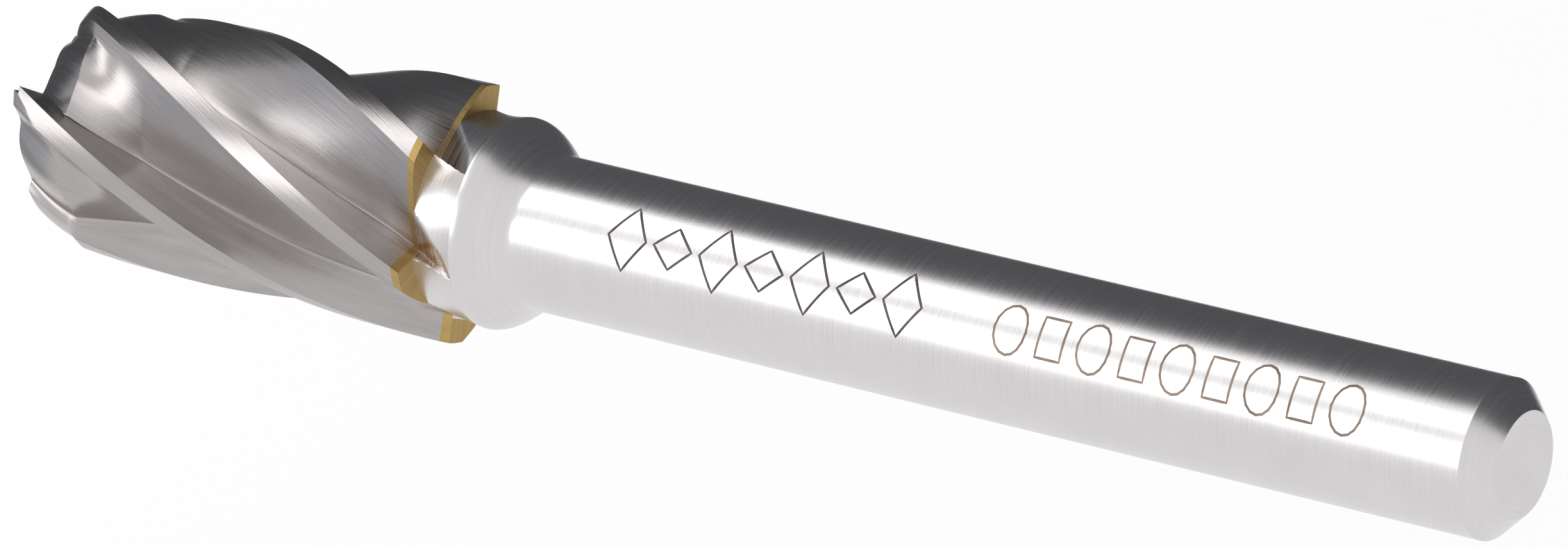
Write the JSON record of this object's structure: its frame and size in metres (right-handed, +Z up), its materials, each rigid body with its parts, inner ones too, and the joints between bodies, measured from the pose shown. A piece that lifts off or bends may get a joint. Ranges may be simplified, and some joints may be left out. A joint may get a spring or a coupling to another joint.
{
  "type": "end mill burr",
  "caption": "Brazed-head carbide burr: a cylindrical helical-fluted cutting head with end corners on a necked, plain round steel shank for a collet.",
  "frame": {"origin": "centre of the shank's flat end face", "axes": "+X along the tool's axis from the head out of the shank's end face, +Z up with the tool lying down, the head towards -X"},
  "size_m": [0.065, 0.01, 0.01],
  "materials": {
    "carbide": "bright ground tungsten carbide with fine grinding marks along the flutes",
    "braze": "pale gold silver-copper braze alloy, cut and smeared by the grinding wheel",
    "shank_steel": "cylindrically ground satin steel with fine marks around the axis"
  },
  "bodies": {
    "root": {"cutting_head": "carbide", "braze_joint": "braze", "shank": "shank_steel"}
  },
  "joints": []
}
